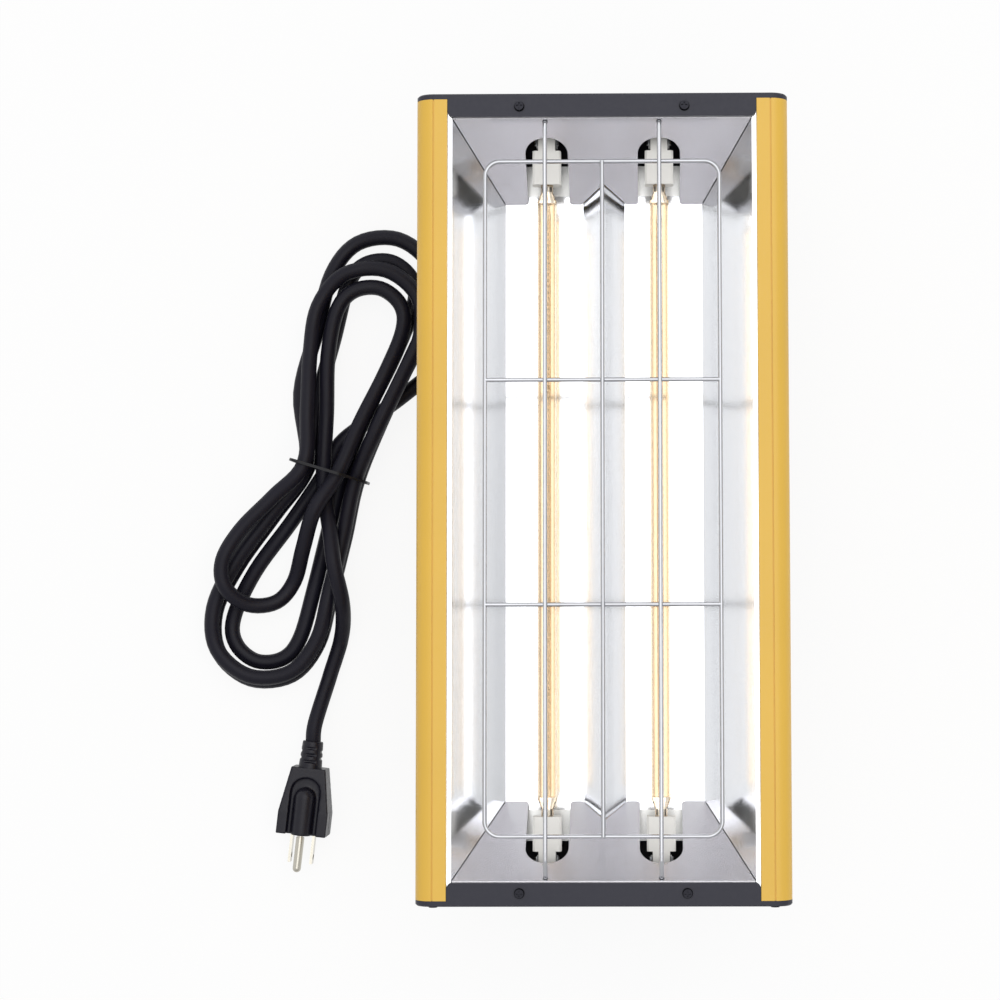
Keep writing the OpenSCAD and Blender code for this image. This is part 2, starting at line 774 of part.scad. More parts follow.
module switch_frames() {
  color("#202024") for (x = [-1, 1]) translate([x * switch_x, switch_y, rear_z]) switch_frame();
}

// Rocker in its off position, tilted half its swing about its pin
module rocker(side) {
  iw = switch_w - 4 * switch_wall;
  il = switch_len - 4 * switch_wall;
  r = il / 2 - rocker_gap;
  w = iw - 2 * rocker_gap;
  color("#B8322A") translate([side * switch_x, switch_y, rear_z + pin_z]) rotate([-rocker_swing / 2, 0, 0]) {
    intersection() {
      rotate([90, 0, 90]) linear_extrude(w, center = true) polygon([
        [-r - over, -pin_z - bezel_t - rocker_edge], [0, -pin_z - bezel_t - rocker_mid],
        [r + over, -pin_z - bezel_t - rocker_edge], [r + over, rocker_in / 2], [0, rocker_in], [-r - over, rocker_in / 2]]);
      rotate([0, 90, 0]) cylinder(r = r, h = iw, center = true);
    }
    rotate([0, 90, 0]) cylinder(d = pin_d, h = switch_w - 2 * switch_wall - fit_gap, center = true);
  }
}

module rocker_left() { rocker(-1); }
module rocker_right() { rocker(1); }

// ---- Terminal block ----

module terminal_block() {
  z = rear_z + cover_t;
  color("#E9E6DC") difference() {
    translate([-block3_w / 2, block3_y - block3_l / 2, z]) cube([block3_w, block3_l, block3_h]);
    for (i = [0:block3_n - 1]) translate([(i - (block3_n - 1) / 2) * block3_pitch, block3_y, z]) {
      translate([0, 0, block3_h / 2]) rotate([90, 0, 0])
        cylinder(d = block3_h / 3, h = block3_l + over, center = true);
      for (y = [-1, 1]) translate([0, y * block3_l / 4, block3_h / 2]) cylinder(d = block3_h / 3, h = block3_h);
    }
  }
}

// ---- Fasteners ----

module flange_screws() {
  len = flange_t + refl_t + seat_gap + nut_t + recess_t;
  color("#1C1C20") for (x = [-1, 1], y = [-1, 1])
    translate([x * flange_screw_x, y * (body_len / 2 - screw_in), front_z]) screw(len);
}

module flange_nuts() {
  color("#9A9C9E") for (x = [-1, 1], y = [-1, 1])
    translate([x * flange_screw_x, y * (body_len / 2 - screw_in), lip_z - refl_t - nut_t]) difference() {
      cylinder(d = nut_w / cos(30), h = nut_t, $fn = 6);
      translate([0, 0, -over]) cylinder(d = port_d, h = nut_t + 2 * over);
    }
}

module end_plate_screws() {
  color("#1C1C20") for (x = [-1, 1], v = [port_v, body_d - port_v], e = [0, 1]) mirror([0, e, 0])
    translate([x * (body_w / 2 - port_u), body_len / 2, rear_z + v]) rotate([-90, 0, 0]) screw(plate_screw_len);
}

module cover_screws() {
  color("#1C1C20") for (x = [-1, 1], s = cover_screw_shares)
    translate([x * cover_screw_x, s * cover_half_len, rear_z]) rotate([180, 0, 0]) screw(cover_screw_len);
}

module handle_screws() {
  color("#1C1C20") for (x = [-1, 1], y = [-1, 1])
    translate([x * handle_screw_x, handle_y + y * handle_screw_y, rear_z - flange_h]) rotate([180, 0, 0])
      screw(handle_screw_len);
}

// ---- Cord ----

floor_c = cord_d / 2;
step = cord_d + cord_clear;

// Free stretch from the strain relief to the hank: chosen places on the real route
lead_route = [[0, 89, 38], [-2, 100, 36.5], [-8, 112, 32], [-19, 121.5, 25.5], [-34, 126, 18.5], [-50, 122.5, 12.5],
  [-64, 112, 8]];

// The hank lies on the floor, drawn in by a tie; places along it are counted from the tie
hank_at = [-166, 22, 0];
hank_tilt = 17;
fold_r = 20.5;
top_len = 144;
bottom_len = 130;
small_len = 88;
apex_drop = 14;
lobe_shift = -6;
small_shift = -18.5;
near_share = 0.35;
far_share = 0.7;
near_open_share = 0.4;
far_open_share = 0.85;
q_share = sqrt(0.5);
// For each of the four turns: steps across in the folds, and reach of the folds
fold_steps = [0, 1.12, 1.12, 0];
fold_step = 1.12 * step;
bottoms = [bottom_len - fold_step, bottom_len, bottom_len - wire_d, small_len];
tops = [top_len - apex_drop, top_len, top_len - 1.5 * apex_drop, top_len - 1.5 * apex_drop - fold_step];
shifts = [lobe_shift, lobe_shift, lobe_shift, small_shift];
// Steps across on the runs: left waist, near, far; right far, near, waist, near, far; left far, near
run_steps = [
  [0, 0, 0, 0, 0, 0, 0, 0, 0.15, 0.9],
  [1.05, 1.12, 1.08, 1.05, 1.05, 1, 1.03, 1.03, 1.25, 1.9],
  [1.05, 1.12, 1.12, 1.05, 1.05, 1, 1.03, 1.03, 1.03, 1.05],
  [1, 0.6, 0.1, -0.05, -0.3, 0, 0, 0, 0, 0]];
// Layers at the twenty places of a turn, in the same order with the folds between
layers = [
  [0.18, 0, 0, 0, 0, 0, 0, 0, 0, 0, 0.3, 1.2, 0.4, 0, 0, 0, 0, 0, 0, 0],
  [0.18, 0, 0, 0, 0, 0, 0, 0, 0, 0, 0.4, 1.25, 0.7, 0, 0, 0, 0, 0, 0.1, 0.6],
  [1.25, 1.1, 1, 1, 1, 1, 1, 1, 1, 1, 1.4, 2.3, 2.1, 1.65, 1.15, 1.05, 1.1, 1.12, 1.35, 1.85],
  [2.35, 2.2, 2.1, 2.1, 2, 1.3, 0.7, 0.5, 1.45, 2.35, 2.1, 2.3, 1.85, 1.3, 1.05, 1, 1, 1, 1, 1.1]];

function run_at(side, c, open, r, shift) = mix(side < 0 ? -c * step : step + c * step, shift + side * (r + c * step), open);
function turn(k) = let (
    w = fold_r + fold_steps[k] * step, lb = bottoms[k], lt = tops[k], eb = lb - w, et = lt - w,
    c = run_steps[k], s = shifts[k], n = near_share, f = far_share, no = near_open_share, fo = far_open_share,
    ab = [
      [0, run_at(-1, c[0], 0, fold_r, s)], [-n * eb, run_at(-1, c[1], no, fold_r, s)],
      [-f * eb, run_at(-1, c[2], fo, fold_r, s)],
      [-eb, s - w], [-eb - q_share * w, s - q_share * w], [-lb, s], [-eb - q_share * w, s + q_share * w], [-eb, s + w],
      [-f * eb, run_at(1, c[3], fo, fold_r, s)], [-n * eb, run_at(1, c[4], no, fold_r, s)],
      [0, run_at(1, c[5], 0, fold_r, 0)], [n * et, run_at(1, c[6], no, fold_r, 0)],
      [f * et, run_at(1, c[7], fo, fold_r, 0)],
      [et, w], [et + q_share * w, q_share * w], [lt, 0], [et + q_share * w, -q_share * w], [et, -w],
      [f * et, run_at(-1, c[8], fo, fold_r, 0)], [n * et, run_at(-1, c[9], no, fold_r, 0)]])
  [for (i = [0:len(ab) - 1]) [ab[i].x, ab[i].y, layers[k][i]]];

hank_in = [[88, 54, 0], [68, 39, 0], [51, 27, 0], [36, 15.5, 0], [18, 3, 0]];
hank_out = [[0, 0, 1.2], [-17, 6.5, 1.15], [-34, 15.5, 1.75], [-52, 24.5, 2.3], [-69, 33.5, 1.75], [-82, 37, 0.75], [-94, 38, 0.05],
  [-106, 38, 0]];
hank_ctrl = concat(hank_in, [for (k = [0:3]) each turn(k)], hank_out);

function laid(p) = [
  hank_at.x + p.x * sin(hank_tilt) + p.y * cos(hank_tilt),
  hank_at.y + p.x * cos(hank_tilt) - p.y * sin(hank_tilt),
  floor_c + max(p.z, 0) * step];
hank_line = [for (p = hank_ctrl) laid(p)];
turn_rings = 24;
turn_places = 20;
hank_n = floor((len(hank_line) - 1) * turn_rings / turn_places);
hank_rings = [for (p = sampled(hank_line, 0, len(hank_line) - 1, hank_n)) [p.x, p.y, max(p.z, floor_c)]];
hank_sides = 6;
cord_sides = 8;

// The free ends run straight for a little over a diameter where they meet the hank and the plug
straight = 1.2 * cord_d;
plug_tilt_v = [-sin(plug_tilt), -cos(plug_tilt), 0];
hank_first = hank_rings[0];
hank_last = hank_rings[hank_n];
lead_pts = concat([[0, boot_end, boot_z]], lead_route,
  [hank_first - straight * unit(hank_rings[1] - hank_first), hank_first]);
function level(p) = [p.x, p.y, floor_c];
tail_pts = [hank_last, hank_last + straight * unit(level(hank_last) - level(hank_rings[hank_n - 1])),
  plug_at - straight * plug_tilt_v, plug_at];

// Least gap between stretches of the hank that aren't next to each other, on points 3 mm apart or less
gap_n = 8;
gap_pts = [for (i = [0:hank_n - 1], j = [0:gap_n - 1]) mix(hank_rings[i], hank_rings[i + 1], j / gap_n)];
gap_skip = 3 * gap_n;
function least(v, i = 0, m = 1000) = i >= len(v) ? m : least(v, i + 1, min(m, v[i]));
hank_gap = least([for (i = [0:gap_n / 2:len(gap_pts) - 1]) least([for (j = [i + gap_skip:1:len(gap_pts) - 1])
  norm(gap_pts[i] - gap_pts[j])])]) - cord_d;

module cord_lead() { color(cord_black) tube(lead_pts, cord_d, cord_sides, [0, 0, 1]); }
module cord_hank() {
  echo(hank_gap = hank_gap, rings = len(hank_rings));
  color(cord_black) tube(hank_rings, cord_d, hank_sides, [0, 0, 1]);
}
module cord_tail() { color(cord_black) tube(tail_pts, cord_d, cord_sides, [0, 0, 1]); }

// Thin wire tie drawn tight round all the runs at the waist of the hank
tie_d = 1.6;
tie_gap = 0.8;
tie_under = 0.4;
hank_span = 60;
function from_waist(p) = let (x = p.x - hank_at.x, y = p.y - hank_at.y)
  [x * sin(hank_tilt) + y * cos(hank_tilt), x * cos(hank_tilt) - y * sin(hank_tilt), p.z];
tie_places = [for (i = [0:hank_n - 1]) let (p = from_waist(hank_rings[i]), q = from_waist(hank_rings[i + 1]))
  if (p.x * q.x < 0) mix(p, q, p.x / (p.x - q.x))];
module tie_loop(grow) {
  hull() for (p = tie_places) translate([p.y, p.z]) circle(d = cord_d + 2 * grow, $fn = rr_fn);
}
module cord_tie() {
  color("#8A8A90") translate([hank_at.x, hank_at.y, 0]) rotate(-hank_tilt) rotate([90, 0, 0])
    linear_extrude(tie_d, center = true) difference() {
      intersection() {
        tie_loop(tie_gap + tie_d);
        translate([-hank_span, 0]) square([2 * hank_span, hank_span]);
      }
      intersection() {
        tie_loop(tie_gap);
        translate([-hank_span, tie_under]) square([2 * hank_span, hank_span]);
      }
    }
}

// ---- Plug ----

module on_plug() { translate([plug_at.x, plug_at.y, 0]) rotate(180 - plug_tilt) children(); }

// Moulded body: narrow at the cord, wide at the pins, with a grip hollow either side of a raised rib
module plug_body() {
  y0 = relief_len;
  y1 = relief_len + plug_len;
  rib_w = earth_d + 2 * plug_r;
  color(cord_black) on_plug() difference() {
    union() {
      hull() {
        translate([0, y0, plug_h / 2 - plug_r / 2]) rotate([-90, 0, 0]) linear_extrude(plug_r / 2)
          rounded(plug_w0, plug_h - 2 * plug_r, plug_r);
        translate([0, y1 - plug_len / 3, plug_h / 2 - plug_r / 2]) rotate([-90, 0, 0]) linear_extrude(plug_len / 3)
          rounded(plug_w1, plug_h - plug_r, plug_r);
      }
      hull() {
        translate([0, y0 + plug_len * 0.3, plug_h - 2 * plug_r]) sphere(d = rib_w, $fn = rr_fn);
        translate([0, y1 - plug_r, plug_h - rib_w / 2]) rotate([-90, 0, 0]) cylinder(d = rib_w, h = plug_r, $fn = rr_fn);
      }
    }
    for (x = [-1, 1]) translate([x * blade_pitch / 2, y1, blade_z])
      cube([blade_t + 2 * seat_gap, 2 * pin_sink, blade_w + 2 * seat_gap], center = true);
    translate([0, y1 - pin_sink, blade_z + earth_rise]) rotate([-90, 0, 0])
      cylinder(d = root_d + 2 * seat_gap, h = pin_sink + over);
  }
}

module plug_relief() {
  pitch = relief_len / relief_n;
  color(cord_black) on_plug() translate([0, 0, plug_at.z]) rotate([-90, 0, 0]) difference() {
    cylinder(d1 = relief_d0, d2 = relief_d1, h = relief_len);
    for (i = [0:relief_n - 1]) translate([0, 0, pitch * (i + 0.5)]) difference() {
      cylinder(d = relief_d1 + over, h = pitch - relief_rib);
      cylinder(d = mix(relief_d0, relief_d1, (i + 0.5) / relief_n) - 2 * relief_neck, h = pitch - relief_rib);
    }
  }
}

module plug_blades() {
  y = relief_len + plug_len - pin_sink + seat_gap;
  color("#D9C58A") on_plug() for (x = [-1, 1])
    translate([x * blade_pitch / 2 - blade_t / 2, y, blade_z - blade_w / 2]) difference() {
      cube([blade_t, blade_len + pin_sink, blade_w]);
      translate([-over, blade_len, blade_w / 2]) rotate([0, 90, 0]) cylinder(d = blade_w / 2, h = blade_t + 2 * over);
    }
}

// The pin stands on a thinner root, so that its straight wall begins clear of the body
module plug_earth_pin() {
  y = relief_len + plug_len;
  len = earth_len - earth_d / 2;
  color("#D9C58A") on_plug() translate([0, y, blade_z + earth_rise]) rotate([-90, 0, 0]) union() {
    translate([0, 0, seat_gap - pin_sink]) cylinder(d = root_d, h = pin_sink + root_show);
    translate([0, 0, root_show]) cylinder(d = earth_d, h = len - root_show);
    translate([0, 0, len]) difference() {
      sphere(d = earth_d);
      translate([0, 0, -earth_d]) cube(2 * earth_d, center = true);
    }
  }
}

side_rail_left();
side_rail_right();
end_plate_top();
end_plate_bottom();
reflector_trough();
end_reflector_top();
end_reflector_bottom();
wire_guard();
quartz_tube_left();
quartz_tube_right();
filament_left();
filament_right();
lamp_ceramics_left();
lamp_ceramics_right();
holder_clips();
holder_bracket_top();
holder_bracket_bottom();
holder_rivets();
rear_cover();
handle();
cord_boot();
switch_frames();
rocker_left();
rocker_right();
terminal_block();
flange_screws();
flange_nuts();
end_plate_screws();
cover_screws();
handle_screws();
cord_lead();
cord_hank();
cord_tail();
cord_tie();
plug_body();
plug_relief();
plug_blades();
plug_earth_pin();
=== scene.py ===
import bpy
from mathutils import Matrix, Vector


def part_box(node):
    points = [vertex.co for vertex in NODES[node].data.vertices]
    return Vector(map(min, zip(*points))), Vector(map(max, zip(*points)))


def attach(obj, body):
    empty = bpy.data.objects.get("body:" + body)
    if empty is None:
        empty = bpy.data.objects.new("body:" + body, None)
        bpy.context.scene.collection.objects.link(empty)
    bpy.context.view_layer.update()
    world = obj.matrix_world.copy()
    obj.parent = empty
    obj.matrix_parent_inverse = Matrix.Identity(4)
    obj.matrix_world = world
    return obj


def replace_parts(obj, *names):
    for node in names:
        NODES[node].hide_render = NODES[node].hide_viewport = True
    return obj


bl_info = {
    "name": "Infrared curing lamp",
    "version": (1, 0, 0),
    "blender": (4, 5, 0),
    "location": "View3D > Sidebar > Lamp",
    "description": "Dresses the curing lamp, its cord and its plug, and sets up the studio",
    "category": "Object",
}

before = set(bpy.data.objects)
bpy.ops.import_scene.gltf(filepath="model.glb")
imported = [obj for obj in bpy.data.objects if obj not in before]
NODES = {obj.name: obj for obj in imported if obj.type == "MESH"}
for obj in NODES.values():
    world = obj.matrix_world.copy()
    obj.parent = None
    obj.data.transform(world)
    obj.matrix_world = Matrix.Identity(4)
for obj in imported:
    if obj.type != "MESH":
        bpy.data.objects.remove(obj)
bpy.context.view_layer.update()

import math

import bmesh
import bpy
from bpy.props import FloatProperty, FloatVectorProperty, PointerProperty
from mathutils import Vector

MM = 0.001
# Where the cord meets its plug, in millimetres, and how far the plug leans from the Y axis
PLUG_AT = Vector((-171.8, -136.4, 12))
PLUG_LEAN = math.radians(6.3)
# Middle of the hank's waist in millimetres, and how far the hank leans from the Y axis
HANK_AT = (-166, 22)
HANK_LEAN = math.radians(17)
# Place, turn in degrees and shift of the camera, as fitted to the photograph
CAMERA_AT = (0.02409, -0.0581, 1.29451)
CAMERA_TURN = (3.243, 0.634, -0.154)
CAMERA_SHIFT = (-0.1243, -0.0183)
# Place and turn in degrees of the softbox, and its side in metres
SOFTBOX_AT = (0.3, 0.35, 2.1)
SOFTBOX_TURN = (-9, 8, 0)
SOFTBOX_SIDE = 2.0
FLOOR_SIDE = 8


def linear(code):
    """An sRGB hex colour as linear red, green and blue."""
    parts = [int(code[i:i + 2], 16) / 255 for i in (1, 3, 5)]
    return tuple(c / 12.92 if c <= 0.04045 else ((c + 0.055) / 1.055) ** 2.4 for c in parts)


def colour(title, words, code):
    return FloatVectorProperty(name=title, description=words, subtype="COLOR", size=3, min=0, max=1,
                               default=linear(code))


def length(title, words, size):
    return FloatProperty(name=title, description=words, default=size, min=0, unit="LENGTH", precision=4)


# ---- What a user would change ----

class LampColours(bpy.types.PropertyGroup):
    rail: colour("Rails", "Yellow of the powder-coated side rails", "#E4B747")
    plate: colour("End plates", "Dark grey of the end plates", "#2E2E38")
    cover: colour("Rear cover", "Grey of the rear cover", "#34343A")
    mirror: colour("Mirror", "Tint of the polished aluminium", "#F7F8FA")
    end_mirror: colour("End mirrors", "Tint of the satin end mirrors", "#D4D3D7")
    wire: colour("Wire guard", "Tint of the plated wire", "#B4B5B9")
    quartz: colour("Quartz", "Tint of the gold-coated quartz, seen straight", "#EFE4D3")
    quartz_edge: colour("Quartz edge", "Tint of the gold-coated quartz, seen at a slant", "#DDBD8C")
    coil: colour("Element", "Colour of the heating element", "#C2B08E")
    ceramic: colour("Ceramic", "White of the tube's end blocks", "#F1EFEA")
    plastic: colour("Handle", "Black of the handle and switch frames", "#2A2A2E")
    rubber: colour("Cord", "Black of the cord and its plug", "#15141F")
    rocker: colour("Rockers", "Red of the two rockers", "#B3302A")
    pins: colour("Plug pins", "Tint of the plug's plated pins", "#BFBBB0")


class LampCord(bpy.types.PropertyGroup):
    diameter: length("Cord diameter", "Outside diameter of the cord", 0.009)
    clear: length("Gap between turns", "Least gap between turns of the hank", 0.001)
    fold: length("Fold radius", "Radius of the inner folds of the hank", 0.0205)
    top: length("Upper reach", "Distance from the tie to the top of the longest turn", 0.144)
    bottom: length("Lower reach", "Distance from the tie to the bottom of the longest turn", 0.130)
    small: length("Short reach", "Distance from the tie to the bottom of the shortest turn", 0.088)


class LampPlug(bpy.types.PropertyGroup):
    length: length("Body length", "Length of the moulded body, from the neck to the pins", 0.0388)
    width: length("Width", "Width of the body at the pins", 0.029)
    waist: length("Waist", "Width of the body at the neck", 0.020)
    height: length("Height", "Height of the body at the rib", 0.025)
    rib: length("Rib", "Width of the rib over the earth pin", 0.0115)
    neck: length("Neck", "Length of the slotted neck", 0.0152)


class LampCoil(bpy.types.PropertyGroup):
    wire: length("Wire", "Thickness of the tungsten wire", 0.0004)
    radius: length("Coil radius", "Radius of the heating coil", 0.0009)
    pitch: length("Pitch", "Distance from turn to turn", 0.0032)
    lead: length("Lead", "Length of the straight lead at each end", 0.012)


class LampStudio(bpy.types.PropertyGroup):
    lens: FloatProperty(name="Lens", description="Focal length of the camera in millimetres",
                        default=78.87, min=10)
    softbox: FloatProperty(name="Softbox", description="Power of the light over the lamp, in watts",
                           default=16, min=0, unit="POWER")
    sky: FloatProperty(name="Sky", description="Strength of the light from all round",
                       default=0.8, min=0)
    floor: colour("Floor", "Colour of the pale floor", "#F4F4F4")


# ---- Materials ----

def put(tree, kind, feeds=None, **settings):
    """Adds a node with its settings, and feeds its sockets with values or with other nodes' outputs."""
    made = tree.nodes.new(kind)
    for key, value in settings.items():
        setattr(made, key, value)
    for key, value in (feeds or {}).items():
        if isinstance(value, bpy.types.NodeSocket):
            tree.links.new(value, made.inputs[key])
        elif hasattr(value, "__len__") and len(value) == 3 and made.inputs[key].type == "RGBA":
            made.inputs[key].default_value = (*value, 1)
        else:
            made.inputs[key].default_value = value
    return made


def begin(name):
    made = bpy.data.materials.new(name)
    made.use_nodes = True
    made.node_tree.nodes.clear()
    tree = made.node_tree
    return made, tree, put(tree, "ShaderNodeTexCoord").outputs["Object"]


def close(tree, shader):
    put(tree, "ShaderNodeOutputMaterial", {"Surface": shader})


def grain(tree, where, size, detail=2.0, stretch=(1, 1, 1)):
    """Noise whose features are about size metres across."""
    placed = put(tree, "ShaderNodeMapping", {"Vector": where, "Scale": stretch})
    made = put(tree, "ShaderNodeTexNoise",
               {"Vector": placed.outputs[0], "Scale": 1 / size, "Detail": detail})
    return made.outputs["Fac"]


def spread(tree, value, low, high):
    """Noise, which lies mostly between 0.3 and 0.7, as a value from low to high."""
    made = put(tree, "ShaderNodeMapRange", {"Value": value, "From Min": 0.3, "From Max": 0.7,
                                            "To Min": low, "To Max": high})
    return made.outputs[0]


def tinted(tree, value, tint, darker, lighter):
    """The tint, a little darker and lighter as the value goes from 0 to 1."""
    low, high = ([min(1, c * k) for c in tint] for k in (darker, lighter))
    return mix_colour(tree, value, low, high)


def mix_colour(tree, value, low, high):
    made = put(tree, "ShaderNodeMix", {0: value}, data_type="RGBA")
    for key, side in ((6, low), (7, high)):
        if isinstance(side, bpy.types.NodeSocket):
            tree.links.new(side, made.inputs[key])
        else:
            made.inputs[key].default_value = (*side, 1)
    return made.outputs[2]


def powder_coat(name, tint, rough, shine=0.5):
    """Polyester powder coat, sprayed on metal and baked: even colour, soft sheen, faint orange peel."""
    made, tree, where = begin(name)
    # Real peel is near 1 mm across; it is drawn at 1.6 mm so that it shows
    bumps = grain(tree, where, 1.6 * MM, 1)
    drift = grain(tree, where, 60 * MM, 2)
    bump = put(tree, "ShaderNodeBump", {"Height": bumps, "Strength": 0.12, "Distance": 0.05 * MM})
    shader = put(tree, "ShaderNodeBsdfPrincipled", {
        "Base Color": tinted(tree, drift, tint, 0.94, 1.04),
        "Roughness": spread(tree, bumps, rough - 0.04, rough + 0.05),
        "Specular IOR Level": shine,
        "Normal": bump.outputs[0]})
    close(tree, shader.outputs[0])
    return made


def polished_aluminium(name, tint, rough=0.1, lay=(1, 0.02, 1), streak=0.4):
    """Rolled aluminium sheet, bent after polishing: a blurred mirror with fine rolling lines.

    The lines are long on the axes where lay is small. streak is how much rougher the roughest are.
    """
    made, tree, where = begin(name)
    lines = grain(tree, where, 0.5 * MM, 2, lay)
    waves = grain(tree, where, 120 * MM, 0)
    bump = put(tree, "ShaderNodeBump", {"Height": waves, "Strength": 0.2, "Distance": 0.6 * MM})
    shader = put(tree, "ShaderNodeBsdfPrincipled", {
        "Base Color": tinted(tree, lines, tint, 0.985, 1.01), "Metallic": 1,
        "Roughness": spread(tree, lines, rough, rough * (1 + streak)),
        "Normal": bump.outputs[0]})
    close(tree, shader.outputs[0])
    return made


def plated_metal(name, tint, rough):
    """Nickel, chrome or zinc plate on steel or brass: a clean reflection with faint drawing marks."""
    made, tree, where = begin(name)
    marks = grain(tree, where, 0.3 * MM, 3)
    shader = put(tree, "ShaderNodeBsdfPrincipled", {
        "Base Color": tinted(tree, grain(tree, where, 9 * MM), tint, 0.92, 1.03), "Metallic": 1,
        "Roughness": spread(tree, marks, rough * 0.8, rough * 1.3)})
    close(tree, shader.outputs[0])
    return made


def gold_quartz(name, tint, edge):
    """Drawn quartz tube with a thin gold coat: clear glass, amber where it is seen at a slant."""
    made, tree, where = begin(name)
    drift = grain(tree, where, 35 * MM, 1, (0.2, 1, 0.2))
    # The wall of a tube is thicker where it is seen at a slant, so its colour is deeper there
    slant = put(tree, "ShaderNodeLayerWeight", {"Blend": 0.6}).outputs["Facing"]
    shader = put(tree, "ShaderNodeBsdfPrincipled", {
        "Base Color": mix_colour(tree, slant, tinted(tree, drift, tint, 0.95, 1.03), edge),
        "Roughness": spread(tree, drift, 0.02, 0.05), "IOR": 1.46,
        "Transmission Weight": 1.0})
    close(tree, shader.outputs[0])
    return made


def fired_ceramic(name, tint):
    """Steatite, pressed and fired without glaze: chalky white, slightly mottled."""
    made, tree, where = begin(name)
    spots = grain(tree, where, 0.7 * MM, 3)
    bump = put(tree, "ShaderNodeBump", {"Height": spots, "Strength": 0.2, "Distance": 0.05 * MM})
    shader = put(tree, "ShaderNodeBsdfPrincipled", {
        "Base Color": tinted(tree, grain(tree, where, 4 * MM, 3), tint, 0.93, 1.02),
        "Roughness": 0.55, "Normal": bump.outputs[0]})
    close(tree, shader.outputs[0])
    return made


def moulded_plastic(name, tint, rough, spark=0.6 * MM, depth=0.35, shine=0.5):
    """Injection-moulded nylon or ABS from a spark-eroded tool: fine matt grain."""
    made, tree, where = begin(name)
    pits = put(tree, "ShaderNodeTexVoronoi", {"Vector": where, "Scale": 1 / spark}).outputs["Distance"]
    bump = put(tree, "ShaderNodeBump", {"Height": pits, "Strength": depth, "Distance": 0.05 * MM})
    shader = put(tree, "ShaderNodeBsdfPrincipled", {
        "Base Color": tinted(tree, grain(tree, where, 18 * MM), tint, 0.9, 1.08),
        "Roughness": spread(tree, pits, rough + 0.05, rough - 0.05),
        "Specular IOR Level": shine,
        "Normal": bump.outputs[0]})
    close(tree, shader.outputs[0])
    return made


def cord_rubber(name, tint):
    """Extruded rubber jacket: matt black with a dusty bloom and a slight ripple."""
    made, tree, where = begin(name)
    bloom = grain(tree, where, 22 * MM, 3)
    fine = grain(tree, where, 0.8 * MM, 2)
    bump = put(tree, "ShaderNodeBump", {"Height": fine, "Strength": 0.25, "Distance": 0.05 * MM})
    shader = put(tree, "ShaderNodeBsdfPrincipled", {
        "Base Color": tinted(tree, bloom, tint, 0.85, 1.2), "Roughness": spread(tree, bloom, 0.42, 0.56),
        "Specular IOR Level": 0.2, "Normal": bump.outputs[0]})
    close(tree, shader.outputs[0])
    return made


def wear(names, material):
    """Gives a finish to CAD nodes."""
    for name in names:
        slots = NODES[name].data.materials
        slots.clear()
        slots.append(material)


# ---- Cord ----

